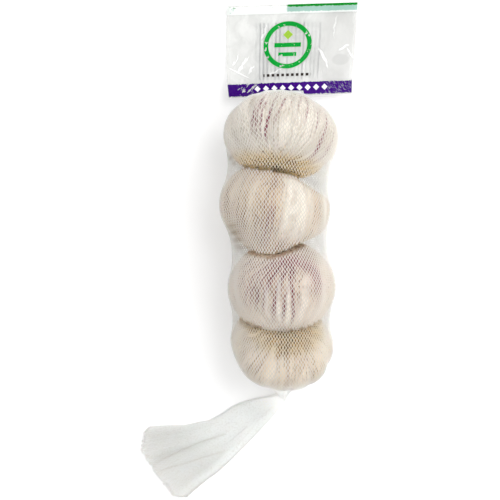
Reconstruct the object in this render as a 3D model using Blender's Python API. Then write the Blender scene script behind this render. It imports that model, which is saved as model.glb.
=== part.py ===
"""Net pack of four garlic bulbs, lying on its back as it is shown.

Two pieces. The net sleeve is one closed skin drawn over four bulbs in a row. It is gathered
at the top where the film holds it, pinched to a neck below the last bulb, and its free end
fans out flat to the lower left. The header is the folded film at the top.

X is across the pack, Y runs along it towards the header, and Z points away from the
surface that the pack lies on. Lengths are in millimetres up to the last step.
"""

import math

import bpy
import numpy as np

MM = 0.001

# Bulbs, from the header down: centre in plan, equator radius, height as a share of the
# general profile, heading of the neck in plan, dip of the neck, cloves, turn of the cloves.
BULBS = (
    (15.3, 54.4, 27.2, 0.87, 84.0, 30.0, 10, 12.0),
    (12.3, 20.8, 26.4, 1.03, -101.0, 3.0, 9, 40.0),
    (15.7, -17.9, 25.6, 1.08, 95.0, 8.0, 9, 5.0),
    (15.7, -45.7, 24.6, 0.80, 256.0, 50.0, 9, 20.0),
)
# Half profile of a bulb of 27 mm equator radius: radius and height above the equator,
# from the middle of the root plate over the shoulder to the cut stem.
PROFILE_RADIUS = 27.0
PROFILE = (
    (0.0, -18.0),
    (5.0, -18.2),
    (9.0, -18.5),
    (15.0, -17.6),
    (22.0, -12.8),
    (26.2, -5.6),
    (27.0, 0.0),
    (25.8, 7.0),
    (21.0, 14.0),
    (14.5, 18.8),
    (8.5, 21.2),
    (4.6, 22.6),
    (0.0, 23.0),
)
# Each profile point's corner is softened by running means over the table of its angles.
TABLE_STEPS = 720
BLUR_HALF_WIDTH = 12
BLUR_PASSES = 3
# Grooves between the cloves: depth as a share of the radius, unevenness of their spacing,
# narrowness, and how fast they fade towards the two ends.
CLOVE_DEPTH = 0.045
CLOVE_UNEVEN = 0.35
GROOVE_NARROWNESS = 3
GROOVE_FADE = 1.5
# Directions in which a bulb's lowest point is looked for.
POLE_MARGIN = 0.02
LOWEST_OFF_AXIS_STEPS = 181
LOWEST_AROUND_STEPS = 361

# Net sleeve: it starts as a wide tube round the bulbs and is pulled tight over them.
AROUND = 52
ROWS = 68
NET_OFFSET = 0.4
NET_START_RADIUS = 36.0
NET_START_HEIGHT = 28.8
RELAX_STEPS = 900
SPACE_EVERY = 30
HOOP_PULL = 0.35
END_HOOP_PULL = 0.93
END_ROWS = 9
FLOOR_CLEARANCE = 0.1
# Where the film holds the net, and the neck below the last bulb.
GATHER = (18.0, 76.2, 9.0)
GATHER_HALF_WIDTH = 7.0
GATHER_HALF_DEPTH = 1.4
NECK = (15.3, -70.8, 3.6)
NECK_RADIUS = 2.9
NECK_TURN = -45.0

# Free end of the sleeve, seen in plan: its two long edges from the neck outwards, and the
# cut edge between their far ends.
TAIL_ROWS = 22
TAIL_UPPER = (
    (13.2, -69.0),
    (8.5, -70.6),
    (4.2, -71.2),
    (-3.2, -73.3),
    (-8.2, -75.4),
    (-13.0, -78.8),
    (-19.1, -82.1),
    (-25.2, -83.2),
    (-31.3, -84.5),
    (-40.5, -84.5),
    (-48.5, -85.2),
)
TAIL_LOWER = (
    (17.3, -72.5),
    (15.8, -74.2),
    (12.5, -79.1),
    (8.5, -83.4),
    (4.0, -88.2),
    (2.2, -90.2),
    (-3.4, -96.0),
    (-9.2, -101.8),
    (-15.4, -107.5),
    (-19.9, -110.6),
    (-26.7, -116.3),
    (-30.0, -119.4),
)
TAIL_CUT = (
    (-48.5, -85.2),
    (-50.9, -87.7),
    (-51.8, -92.0),
    (-52.6, -96.0),
    (-49.7, -101.2),
    (-44.8, -108.8),
    (-41.1, -113.4),
    (-36.6, -119.0),
    (-30.0, -119.4),
)
TAIL_THICK = 2.2
TAIL_EDGE_THICK = 0.7
TAIL_EDGE_BLUNTNESS = 4
TAIL_FOLDS = 3.0
TAIL_FOLD_HEIGHT = 0.35
TAIL_FOLD_DRIFT = 1.5
# Share of the free end's length over which the round neck settles flat, and how late the
# rows take the shape of the cut edge.
TAIL_SETTLE = 0.3
TAIL_CUT_LATENESS = 3
ON_EDGE = 1e-6

# Header film, seen in plan: side edges from the lower end up, and the two ends of its lower
# edge where the sleeve doesn't push it up.
HEADER_LEFT = ((-9.8, 73.0), (-10.6, 80.0), (-11.0, 88.0), (-11.0, 110.0), (-10.4, 117.4))
HEADER_RIGHT = ((49.4, 75.2), (49.6, 84.0), (50.6, 93.0), (51.6, 104.0), (52.3, 119.3))
HEADER_COLUMNS = 30
HEADER_ROWS = 22
HEADER_THICK = 1.2
HEADER_GAP = 0.45
# Heights of the film: at the net that it is sealed to, at its top edge, and how much its
# sides hang below the middle, from this share of the half width outwards.
HEADER_SEAL_HEIGHT = 9.0
HEADER_TOP_HEIGHT = 1.3
HEADER_FALL = 1.6
HEADER_SIDE_DROOP = 2.6
HEADER_DROOP_START = 0.2
# Two crossing waves of the film: size, turns per millimetre along X and Y, and phase.
HEADER_WRINKLE = 0.5
WRINKLE_WAVES = ((1.0, 0.21, 0.13, 0.0), (0.7, 0.33, -0.19, 1.3))
WRINKLE_LOWER_FADE = 0.25
WRINKLE_UPPER_FADE = 0.2
# Where the film's lower edge looks for the net: rows of the net, points between two of its
# threads, and distance to each side.
REACH_ROWS = 12
REACH_SAMPLES = 9
REACH_WINDOW = 1.2
NOT_REACHED = -1e9

NET_COLOUR = (0.82, 0.79, 0.73, 1.0)
FILM_COLOUR = (0.85, 0.86, 0.85, 1.0)


def clear_scene():
    for thing in list(bpy.data.objects):
        bpy.data.objects.remove(thing, do_unlink=True)


def make_material(name, colour, roughness):
    material = bpy.data.materials.new(name)
    material.use_nodes = True
    surface = material.node_tree.nodes["Principled BSDF"]
    surface.inputs["Base Color"].default_value = colour
    surface.inputs["Roughness"].default_value = roughness
    surface.inputs["Metallic"].default_value = 0.0
    material.diffuse_color = colour
    return material


def profile_table(share):
    """Distance from the bulb's centre for evenly spaced angles off the neck's direction."""
    angles = np.linspace(0.0, math.pi, TABLE_STEPS + 1)
    points = np.array(PROFILE) * (1.0, share)
    off_axis = np.arctan2(points[:, 0], points[:, 1])
    reach = np.hypot(points[:, 0], points[:, 1])
    order = np.argsort(off_axis)
    table = np.interp(angles, off_axis[order], reach[order])
    window = 2 * BLUR_HALF_WIDTH + 1
    for _ in range(BLUR_PASSES):
        padded = np.pad(table, BLUR_HALF_WIDTH, mode="reflect")
        table = np.convolve(padded, np.full(window, 1 / window), mode="valid")
    return table


class Bulb:
    """A bulb as its distance from its centre in each direction."""

    def __init__(self, x, y, radius, share, heading, dip, cloves, turn):
        heading = math.radians(heading)
        dip = math.radians(dip)
        self.axis = np.array(
            (
                math.cos(dip) * math.cos(heading),
                math.cos(dip) * math.sin(heading),
                -math.sin(dip),
            )
        )
        side = np.cross(self.axis, (0.0, 0.0, 1.0))
        self.side = side / np.linalg.norm(side)
        self.front = np.cross(self.side, self.axis)
        self.table = profile_table(share) * radius / PROFILE_RADIUS
        self.cloves = cloves
        self.turn = math.radians(turn)
        self.centre = np.array((x, y, 0.0))
        self.centre[2] = self.depth_below_centre() + FLOOR_CLEARANCE

    def reach(self, away):
        """Distance from the centre to the skin in the direction of each vector."""
        length = np.linalg.norm(away, axis=-1)
        along = away @ self.axis / length
        off_axis = np.arccos(np.clip(along, -1.0, 1.0))
        around = np.arctan2(away @ self.side, away @ self.front) + self.turn
        place = off_axis / math.pi * TABLE_STEPS
        plain = np.interp(place, np.arange(TABLE_STEPS + 1), self.table)
        uneven = around + CLOVE_UNEVEN * np.sin(2 * around + self.turn)
        groove = ((1 + np.cos(self.cloves * uneven)) / 2) ** GROOVE_NARROWNESS
        return plain * (1 - CLOVE_DEPTH * np.sin(off_axis) ** GROOVE_FADE * groove)

    def depth_below_centre(self):
        off_axis, around = np.meshgrid(
            np.linspace(POLE_MARGIN, math.pi - POLE_MARGIN, LOWEST_OFF_AXIS_STEPS),
            np.linspace(0.0, 2 * math.pi, LOWEST_AROUND_STEPS),
        )
        away = (
            np.cos(off_axis)[..., None] * self.axis
            + (np.sin(off_axis) * np.cos(around))[..., None] * self.front
            + (np.sin(off_axis) * np.sin(around))[..., None] * self.side
        )
        return -(self.reach(away) * away[..., 2]).min()

    def push_out(self, points):
        away = points - self.centre
        length = np.linalg.norm(away, axis=-1)
        wanted = self.reach(away) + NET_OFFSET
        short = length < wanted
        scale = np.where(short, wanted / length, 1.0)
        return self.centre + away * scale[..., None]


def ring(centre, half_width, half_depth, turn):
    """A closed loop of points, an ellipse that stands across the direction of travel."""
    angle = np.arange(AROUND) * 2 * math.pi / AROUND
    turn = math.radians(turn)
    across = np.array((math.cos(turn), math.sin(turn), 0.0))
    up = np.array((0.0, 0.0, 1.0))
    return (
        np.array(centre)
        + np.outer(np.cos(angle) * half_width, across)
        + np.outer(np.sin(angle) * half_depth, up)
    )


def space_evenly(grid):
    """Moves the points along each lengthwise thread until they are evenly spaced."""
    steps = np.linalg.norm(np.diff(grid, axis=0), axis=2)
    travelled = np.vstack([np.zeros(AROUND), np.cumsum(steps, axis=0)])
    spaced = grid.copy()
    for column in range(AROUND):
        places = np.linspace(0.0, travelled[-1, column], len(grid))
        for axis in range(3):
            spaced[:, column, axis] = np.interp(
                places, travelled[:, column], grid[:, column, axis]
            )
    return spaced


def stretched_net(bulbs):
    """The net pulled tight over the bulbs, from the gather to the neck."""
    first = ring(GATHER, GATHER_HALF_WIDTH, GATHER_HALF_DEPTH, 0.0)
    last = ring(NECK, NECK_RADIUS, NECK_RADIUS, NECK_TURN)
    share = np.linspace(0.0, 1.0, ROWS)[:, None]
    line = np.array(GATHER) * (1 - share) + np.array(NECK) * share
    line[:, 2] = NET_START_HEIGHT
    grid = np.stack([ring(c, NET_START_RADIUS, NET_START_RADIUS, 0.0) for c in line])
    grid[0] = first
    grid[-1] = last
    from_end = np.minimum(np.arange(ROWS), np.arange(ROWS)[::-1])
    gathered = 1 - smooth_step(from_end / END_ROWS)
    pull = HOOP_PULL + (END_HOOP_PULL - HOOP_PULL) * gathered[1:-1, None, None]
    for step in range(RELAX_STEPS):
        hoop = (np.roll(grid, 1, axis=1) + np.roll(grid, -1, axis=1)) / 2
        long = (grid[:-2] + grid[2:]) / 2
        grid[1:-1] = pull * hoop[1:-1] + (1 - pull) * long
        for bulb in bulbs:
            grid[1:-1] = bulb.push_out(grid[1:-1])
        grid[1:-1, :, 2] = np.maximum(grid[1:-1, :, 2], 0.0)
        if step % SPACE_EVERY == 0:
            grid = space_evenly(grid)
    return grid


def along_polyline(points, shares):
    points = np.array(points)
    steps = np.linalg.norm(np.diff(points, axis=0), axis=1)
    travelled = np.concatenate([[0.0], np.cumsum(steps)])
    places = np.asarray(shares) * travelled[-1]
    return np.stack([np.interp(places, travelled, points[:, i]) for i in (0, 1)], axis=-1)


def smooth_step(value):
    value = np.clip(value, 0.0, 1.0)
    return value * value * (3 - 2 * value)


def fanned_tail():
    """Rings of the free end, from just past the neck to the cut edge."""
    angle = np.arange(AROUND) * 2 * math.pi / AROUND
    round_share = (1 + np.cos(angle)) / 2
    even_share = 1 - np.abs((angle + math.pi) % (2 * math.pi) - math.pi) / math.pi
    rings = []
    for row in range(1, TAIL_ROWS + 1):
        along = row / TAIL_ROWS
        flat = smooth_step(along / TAIL_SETTLE)
        across = round_share * (1 - flat) + even_share * flat
        upper = along_polyline(TAIL_UPPER, [along])[0]
        lower = along_polyline(TAIL_LOWER, [along])[0]
        plan = upper + (lower - upper) * across[:, None]
        cut = along_polyline(TAIL_CUT, across)
        chord = np.array(TAIL_CUT[0]) + np.outer(
            across, np.subtract(TAIL_CUT[-1], TAIL_CUT[0])
        )
        plan = plan + (cut - chord) * along**TAIL_CUT_LATENESS
        body = np.sqrt(np.maximum(1 - (2 * across - 1) ** TAIL_EDGE_BLUNTNESS, 0.0))
        folds = np.sin(2 * math.pi * TAIL_FOLDS * across + TAIL_FOLD_DRIFT * along)
        round_top = NECK[2] + NECK_RADIUS * np.sin(angle)
        thick = TAIL_EDGE_THICK + (TAIL_THICK - TAIL_EDGE_THICK) * body
        thick = thick + TAIL_FOLD_HEIGHT * folds * body
        flat_top = np.where(np.sin(angle) > ON_EDGE, thick, 0.0)
        edge = np.abs(np.sin(angle)) < ON_EDGE
        flat_top = np.where(edge, TAIL_EDGE_THICK / 2, flat_top)
        height = round_top * (1 - flat) + flat_top * flat
        rings.append(np.column_stack([plan, height]))
    return np.stack(rings)


def cap_faces(start, flip):
    """Faces across an open ring, joining each point to the one opposite it."""
    half = AROUND // 2
    faces = []
    for k in range(half):
        loop = [start + k, start + k + 1]
        loop += [start + AROUND - k - 1, start + (AROUND - k) % AROUND]
        loop = list(dict.fromkeys(loop))
        faces.append(loop if flip else loop[::-1])
    return faces


def tube_faces(rows):
    faces = cap_faces(0, False)
    for row in range(rows - 1):
        for k in range(AROUND):
            a = row * AROUND + k
            b = row * AROUND + (k + 1) % AROUND
            faces.append([a, b, b + AROUND, a + AROUND])
    return faces + cap_faces((rows - 1) * AROUND, True)


def highest_y(grid, xs):
    """How far the sleeve reaches towards the header, at each x."""
    near = grid[:REACH_ROWS]
    ends = np.roll(near, -1, axis=1)
    shares = np.linspace(0.0, 1.0, REACH_SAMPLES)[:, None, None, None]
    samples = (near * (1 - shares) + ends * shares).reshape(-1, 3)
    found = np.full(len(xs), NOT_REACHED)
    for i, x in enumerate(xs):
        close = samples[np.abs(samples[:, 0] - x) < REACH_WINDOW]
        if len(close):
            found[i] = close[:, 1].max()
    return found


def header_height(up, x, y):
    """Height of the film's middle surface: held up at the sleeve, lying down at the top."""
    fall = (1 - up) ** HEADER_FALL
    rise = HEADER_TOP_HEIGHT + (HEADER_SEAL_HEIGHT - HEADER_TOP_HEIGHT) * fall
    side = np.abs(x - GATHER[0]) / (HEADER_RIGHT[0][0] - GATHER[0])
    outward = smooth_step((side - HEADER_DROOP_START) / (1 - HEADER_DROOP_START))
    droop = HEADER_SIDE_DROOP * outward * (1 - up)
    wrinkle = 0.0
    for size, turn_x, turn_y, phase in WRINKLE_WAVES:
        wrinkle = wrinkle + size * np.sin(turn_x * x + turn_y * y + phase)
    fade = smooth_step(up / WRINKLE_LOWER_FADE)
    fade = fade * smooth_step((1 - up) / WRINKLE_UPPER_FADE + WRINKLE_UPPER_FADE)
    return rise - droop + HEADER_WRINKLE * wrinkle * fade


def header_points(sleeve):
    across = np.linspace(0.0, 1.0, HEADER_COLUMNS + 1)
    up = np.linspace(0.0, 1.0, HEADER_ROWS + 1)
    left = along_polyline(HEADER_LEFT, up)
    right = along_polyline(HEADER_RIGHT, up)
    share = across[None, :, None]
    plan = left[:, None] * (1 - share) + right[:, None] * share
    reach = highest_y(sleeve, plan[0, :, 0]) + HEADER_GAP
    lift = np.maximum(reach - plan[0, :, 1], 0.0)
    plan[..., 1] += lift[None, :] * (1 - up[:, None]) ** 2
    height = header_height(up[:, None], plan[..., 0], plan[..., 1])
    top = np.dstack([plan, height + HEADER_THICK / 2])
    bottom = np.dstack([plan, height - HEADER_THICK / 2])
    return np.vstack([top.reshape(-1, 3), bottom.reshape(-1, 3)])


def header_faces():
    wide = HEADER_COLUMNS + 1
    tall = HEADER_ROWS + 1
    under = wide * tall
    faces = []
    for row in range(HEADER_ROWS):
        for column in range(HEADER_COLUMNS):
            a = row * wide + column
            loop = [a, a + 1, a + wide + 1, a + wide]
            faces.append(loop)
            faces.append([i + under for i in reversed(loop)])
    rim = list(range(wide))
    rim += [row * wide + wide - 1 for row in range(1, tall)]
    rim += [under - 1 - column for column in range(1, wide)]
    rim += [row * wide for row in range(tall - 2, 0, -1)]
    for a, b in zip(rim, rim[1:] + rim[:1]):
        faces.append([b, a, a + under, b + under])
    return faces


def add_solid(collection, name, points, faces, material):
    mesh = bpy.data.meshes.new(name)
    mesh.from_pydata([tuple(p) for p in points * MM], [], faces)
    mesh.materials.append(material)
    mesh.shade_smooth()
    mesh.update()
    thing = bpy.data.objects.new(name, mesh)
    collection.objects.link(thing)
    return thing


def main():
    clear_scene()
    bulbs = [Bulb(*row) for row in BULBS]
    net = stretched_net(bulbs)
    sleeve = np.concatenate([net, fanned_tail()])
    header = header_points(net)
    flat_sleeve = sleeve.reshape(-1, 3)
    everything = np.vstack([flat_sleeve, header])
    middle = (everything.min(axis=0) + everything.max(axis=0)) / 2
    middle[2] = everything[:, 2].min()
    pack = bpy.data.collections.new("garlic_net_pack")
    bpy.context.scene.collection.children.link(pack)
    net_material = make_material("net", NET_COLOUR, 0.6)
    film_material = make_material("film", FILM_COLOUR, 0.2)
    add_solid(pack, "net_sleeve", flat_sleeve - middle, tube_faces(len(sleeve)), net_material)
    add_solid(pack, "header_film", header - middle, header_faces(), film_material)


main()
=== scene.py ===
"""Looks of the net pack of garlic bulbs: bulbs, knitted net, gathered free end, film header."""

from math import cos, pi, radians, sin

import bpy
import numpy as np
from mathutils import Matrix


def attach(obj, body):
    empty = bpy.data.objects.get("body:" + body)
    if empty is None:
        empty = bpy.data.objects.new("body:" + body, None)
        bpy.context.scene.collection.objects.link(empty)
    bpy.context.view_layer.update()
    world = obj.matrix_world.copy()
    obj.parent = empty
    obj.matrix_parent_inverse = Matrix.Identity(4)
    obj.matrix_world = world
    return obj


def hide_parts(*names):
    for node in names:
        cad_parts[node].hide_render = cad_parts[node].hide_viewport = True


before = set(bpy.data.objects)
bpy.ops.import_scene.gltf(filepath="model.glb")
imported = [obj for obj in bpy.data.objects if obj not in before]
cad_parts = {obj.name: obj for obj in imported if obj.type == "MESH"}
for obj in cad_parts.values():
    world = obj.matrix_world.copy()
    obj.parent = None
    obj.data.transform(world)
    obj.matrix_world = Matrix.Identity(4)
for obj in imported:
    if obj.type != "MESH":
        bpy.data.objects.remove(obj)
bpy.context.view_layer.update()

MM = 0.001

# The bulbs, net and header repeat the driving dimensions of the part, in millimetres.
# Each bulb: centre in plan, equator radius, height share, heading and dip of the neck,
# cloves, turn of the cloves.
BULBS = (
    (15.3, 54.4, 27.2, 0.87, 84, 30, 10, 12),
    (12.3, 20.8, 26.4, 1.03, -101, 3, 9, 40),
    (15.7, -17.9, 25.6, 1.08, 95, 8, 9, 5),
    (15.7, -45.7, 24.6, 0.8, 256, 50, 9, 20),
)
PROFILE_RADIUS = 27.0
PROFILE = (
    (0, -18), (5, -18.2), (9, -18.5), (15, -17.6), (22, -12.8), (26.2, -5.6), (27, 0),
    (25.8, 7), (21, 14), (14.5, 18.8), (8.5, 21.2), (4.6, 22.6), (0, 23),
)
CLOVE_DEPTH = 0.045
CLOVE_UNEVEN = 0.35
TABLE_STEPS = 720
AROUND = 52
ROWS = 68
NET_OFFSET = 0.4
NET_START_RADIUS = 36.0
RELAX_STEPS = 900
SPACE_EVERY = 30
HOOP_PULL = 0.35
END_HOOP_PULL = 0.93
END_ROWS = 9
FLOOR_CLEARANCE = 0.1
GATHER = (18.0, 76.2, 9.0)
GATHER_HALF_WIDTH = 7.0
GATHER_HALF_DEPTH = 1.4
NECK = (15.3, -70.8, 3.6)
NECK_RADIUS = 2.9
NECK_TURN = -45.0
TAIL_ROWS = 22
TAIL_UPPER = (
    (13.2, -69), (8.5, -70.6), (4.2, -71.2), (-3.2, -73.3), (-8.2, -75.4), (-13, -78.8),
    (-19.1, -82.1), (-25.2, -83.2), (-31.3, -84.5), (-40.5, -84.5), (-48.5, -85.2),
)
TAIL_LOWER = (
    (17.3, -72.5), (15.8, -74.2), (12.5, -79.1), (8.5, -83.4), (4, -88.2), (2.2, -90.2),
    (-3.4, -96), (-9.2, -101.8), (-15.4, -107.5), (-19.9, -110.6), (-26.7, -116.3), (-30, -119.4),
)
TAIL_CUT = (
    (-48.5, -85.2), (-50.9, -87.7), (-51.8, -92), (-52.6, -96), (-49.7, -101.2), (-44.8, -108.8),
    (-41.1, -113.4), (-36.6, -119), (-30, -119.4),
)
TAIL_THICK = 2.2
TAIL_EDGE_THICK = 0.7
TAIL_FOLDS = 3.0
TAIL_FOLD_HEIGHT = 0.35
TAIL_SETTLE = 0.3
# Creases of the free end: share across, drift, half width and depth.
TAIL_CREASES = (
    (0.44, -0.02, 0.03, 0.55), (0.64, -0.01, 0.03, 0.55), (0.8, 0.02, 0.03, 0.25),
    (0.2, 0.04, 0.035, 0.25),
)
HEADER_LEFT = ((-9.8, 73), (-10.6, 80), (-11, 88), (-11, 110), (-10.4, 117.4))
HEADER_RIGHT = ((49.4, 75.2), (49.6, 84), (50.6, 93), (51.6, 104), (52.3, 119.3))
HEADER_THICK = 1.2
HEADER_GAP = 0.45
HEADER_SEAL_HEIGHT = 9.0
HEADER_TOP_HEIGHT = 1.3
HEADER_SIDE_DROOP = 2.6
HEADER_WRINKLE = 0.5
HEADER_NEAR_ROWS = 12
HEADER_WINDOW = 1.2
# The part's own frame is centred on its box after it is made.
PART_MIDDLE = (-0.035, -0.05)

# Net threads. The last two: how many strands the back blends in over, and how far down a
# thread looks for a skin.
STRANDS = 220
STRAND_ROWS = 166
TAIL_STRAND_ROWS = 64
THREAD_RADIUS = 0.215
BACK_THREAD_RADIUS = 0.25
THREAD_SIDES = 3
TAIL_THREAD_RADIUS = 0.15
TAIL_RAGGED = 0.5
THREAD_SWAY = 0.35
THREAD_ALPHA = 0.58
BACK_CLOSED = 0.35
BACK_BLEND = 30.0
DEEPEST = 40.0

# Bulb skins.
SKIN_LONG = 120
SKIN_ROUND = 216
SKIN_GAP = 0.08
FAR = 99.0
TINY = 1e-6


def smooth_step(value):
    value = np.clip(value, 0, 1)
    return value * value * (3 - 2 * value)


def most(first, *others):
    for other in others:
        first = np.maximum(first, other)
    return first


def unit(vectors):
    return vectors / (np.linalg.norm(vectors, axis=-1, keepdims=True) + 1e-12)


def tube_angles(count):
    """Angles round the tube, and where each lies across the flattened tube, 0 to 1."""
    angle = np.arange(count) * 2 * pi / count
    return angle, 1 - np.abs((angle + pi) % (2 * pi) - pi) / pi


def profile_table(share):
    """Distance from the bulb's centre for evenly spaced angles off the neck's direction."""
    angles = np.linspace(0.0, pi, TABLE_STEPS + 1)
    points = np.array(PROFILE) * (1.0, share)
    off_axis = np.arctan2(points[:, 0], points[:, 1])
    reach = np.hypot(points[:, 0], points[:, 1])
    order = np.argsort(off_axis)
    table = np.interp(angles, off_axis[order], reach[order])
    for _ in range(3):
        padded = np.pad(table, 12, mode="reflect")
        table = np.convolve(padded, np.full(25, 1 / 25), mode="valid")
    return table


class Bulb:
    """A bulb as its distance from its centre in each direction."""

    def __init__(self, x, y, radius, share, heading, dip, cloves, turn):
        heading = radians(heading)
        dip = radians(dip)
        level = cos(dip)
        axis = (level * cos(heading), level * sin(heading), -sin(dip))
        self.axis = np.array(axis)
        self.side = unit(np.cross(self.axis, (0, 0, 1)))
        self.front = np.cross(self.side, self.axis)
        self.table = profile_table(share) * radius / PROFILE_RADIUS
        self.cloves = cloves
        self.turn = radians(turn)
        self.centre = np.array((x, y, 0.0))
        self.centre[2] = self.depth_below_centre() + FLOOR_CLEARANCE

    def angles(self, away):
        length = np.linalg.norm(away, axis=-1)
        along = away @ self.axis / length
        off_axis = np.arccos(np.clip(along, -1, 1))
        around = np.arctan2(away @ self.side, away @ self.front)
        return off_axis, around

    def reach(self, away):
        """Distance from the centre to the skin in the direction of each vector."""
        off_axis, around = self.angles(away)
        around = around + self.turn
        place = off_axis / pi * TABLE_STEPS
        plain = np.interp(place, np.arange(TABLE_STEPS + 1), self.table)
        uneven = around + CLOVE_UNEVEN * np.sin(2 * around + self.turn)
        groove = (0.5 + 0.5 * np.cos(self.cloves * uneven)) ** 3
        return plain * (1 - CLOVE_DEPTH * np.sin(off_axis) ** 1.5 * groove)

    def directions(self, off_axis, around):
        return (
            np.cos(off_axis)[..., None] * self.axis
            + (np.sin(off_axis) * np.cos(around))[..., None] * self.front
            + (np.sin(off_axis) * np.sin(around))[..., None] * self.side
        )

    def depth_below_centre(self):
        off_axis, around = np.meshgrid(
            np.linspace(0.02, pi - 0.02, 181), np.linspace(0, 2 * pi, 361)
        )
        away = self.directions(off_axis, around)
        return -(self.reach(away) * away[..., 2]).min()

    def push_out(self, points, offset):
        away = points - self.centre
        length = np.linalg.norm(away, axis=-1)
        wanted = self.reach(away) + offset
        short = length < wanted
        scale = np.where(short, wanted / length, 1.0)
        return self.centre + away * scale[..., None]


def ring(centre, half_width, half_depth, turn):
    """A closed loop of points, an ellipse that stands across the direction of travel."""
    angle = tube_angles(AROUND)[0]
    turn = radians(turn)
    across = np.cos(angle) * half_width
    up = np.sin(angle) * half_depth
    return np.array(centre) + np.column_stack([across * cos(turn), across * sin(turn), up])


def space_evenly(grid):
    """Moves the points along each lengthwise thread until they are evenly spaced."""
    steps = np.linalg.norm(np.diff(grid, axis=0), axis=2)
    travelled = np.vstack([np.zeros(AROUND), np.cumsum(steps, axis=0)])
    spaced = grid.copy()
    for column in range(AROUND):
        places = np.linspace(0.0, travelled[-1, column], len(grid))
        for axis in range(3):
            spaced[:, column, axis] = np.interp(places, travelled[:, column], grid[:, column, axis])
    return spaced


def stretched_net(bulbs):
    """The net pulled tight over the bulbs, from the gather to the neck."""
    share = np.linspace(0, 1, ROWS)[:, None]
    line = np.array(GATHER) * (1 - share) + np.array(NECK) * share
    line[:, 2] = NET_START_RADIUS * 0.8
    grid = np.stack([ring(c, NET_START_RADIUS, NET_START_RADIUS, 0.0) for c in line])
    grid[0] = ring(GATHER, GATHER_HALF_WIDTH, GATHER_HALF_DEPTH, 0.0)
    grid[-1] = ring(NECK, NECK_RADIUS, NECK_RADIUS, NECK_TURN)
    from_end = np.minimum(np.arange(ROWS), np.arange(ROWS)[::-1])
    gathered = 1 - smooth_step(from_end / END_ROWS)
    pull = HOOP_PULL + (END_HOOP_PULL - HOOP_PULL) * gathered[1:-1, None, None]
    for step in range(RELAX_STEPS):
        hoop = (np.roll(grid, 1, axis=1) + np.roll(grid, -1, axis=1)) / 2
        long = (grid[:-2] + grid[2:]) / 2
        grid[1:-1] = pull * hoop[1:-1] + (1 - pull) * long
        for bulb in bulbs:
            grid[1:-1] = bulb.push_out(grid[1:-1], NET_OFFSET)
        grid[1:-1, :, 2] = np.maximum(grid[1:-1, :, 2], 0.0)
        if step % SPACE_EVERY == 0:
            grid = space_evenly(grid)
    return grid


def along_polyline(points, shares):
    points = np.array(points)
    steps = np.linalg.norm(np.diff(points, axis=0), axis=1)
    travelled = np.concatenate([[0.0], np.cumsum(steps)])
    places = np.asarray(shares) * travelled[-1]
    return np.stack([np.interp(places, travelled, points[:, i]) for i in (0, 1)], axis=-1)


def fanned_tail():
    """Rings of the free end, from just past the neck to the cut edge."""
    angle, even_share = tube_angles(AROUND)
    height_share = np.sin(angle)
    round_share = (1 + np.cos(angle)) / 2
    rings = []
    for row in range(1, TAIL_ROWS + 1):
        along = row / TAIL_ROWS
        flat = smooth_step(along / TAIL_SETTLE)
        across = round_share * (1 - flat) + even_share * flat
        upper, lower = (along_polyline(side, along) for side in (TAIL_UPPER, TAIL_LOWER))
        plan = upper + (lower - upper) * across[:, None]
        cut = along_polyline(TAIL_CUT, across)
        chord = np.array(TAIL_CUT[0]) + np.outer(across, np.subtract(TAIL_CUT[-1], TAIL_CUT[0]))
        plan = plan + (cut - chord) * along**3
        body = np.sqrt(np.maximum(1 - (2 * across - 1) ** 4, 0.0))
        folds = np.sin(2 * pi * TAIL_FOLDS * across + 1.5 * along)
        thick = TAIL_EDGE_THICK + (TAIL_THICK - TAIL_EDGE_THICK) * body
        thick = thick + TAIL_FOLD_HEIGHT * folds * body
        flat_top = np.where(height_share > TINY, thick, 0.0)
        flat_top = np.where(np.abs(height_share) < TINY, TAIL_EDGE_THICK / 2, flat_top)
        height = (NECK[2] + NECK_RADIUS * height_share) * (1 - flat) + flat_top * flat
        rings.append(np.column_stack([plan, height]))
    return np.stack(rings)


def highest_y(grid, xs):
    """How far the sleeve reaches towards the header, at each x."""
    near = grid[:HEADER_NEAR_ROWS]
    ends = np.roll(near, -1, axis=1)
    shares = np.linspace(0, 1, 9)[:, None, None, None]
    samples = (near * (1 - shares) + ends * shares).reshape(-1, 3)
    close = np.abs(samples[:, 0] - xs[:, None]) < HEADER_WINDOW
    return np.where(close, samples[:, 1], -1e9).max(axis=1)


def header_height(up, x, y):
    """Height of the film's middle surface: held up at the sleeve, lying down at the top."""
    rise = HEADER_TOP_HEIGHT + (HEADER_SEAL_HEIGHT - HEADER_TOP_HEIGHT) * (1 - up) ** 1.6
    side = np.abs(x - GATHER[0]) / (HEADER_RIGHT[0][0] - GATHER[0])
    droop = HEADER_SIDE_DROOP * smooth_step((side - 0.2) / 0.8) * (1 - up)
    wrinkle = np.sin(0.21 * x + 0.13 * y) + 0.7 * np.sin(0.33 * x - 0.19 * y + 1.3)
    fade = smooth_step(up / 0.25) * smooth_step((1 - up) / 0.2 + 0.2)
    return rise - droop + HEADER_WRINKLE * wrinkle * fade


def creased(tail):
    """The free end's rows with narrow creases along the net, which start past the neck."""
    angle, across = tube_angles(AROUND)
    along = np.arange(1, TAIL_ROWS + 1)[:, None] / TAIL_ROWS
    for middle, drift, width, depth in TAIL_CREASES:
        apart = (across - middle - drift * along) / width
        dip = depth * np.exp(-(apart**2)) * smooth_step((along - 0.2) / 0.4)
        tail[..., 2] -= np.where(np.sin(angle) > TINY, dip, 0.0)
    tail[..., 2] = np.maximum(tail[..., 2], 0.0)
    return tail


def to_linear(colour):
    """An sRGB colour of 0 to 255 as the linear values that a shader takes."""
    share = np.array(colour) / 255
    linear = np.where(share <= 0.04045, share / 12.92, ((share + 0.055) / 1.055) ** 2.4)
    return (*linear, 1.0)


def on_nodes(operation):
    """An operator that adds a node for itself."""
    return lambda value, other=0.0: value.shader.math(operation, value, other)


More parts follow.
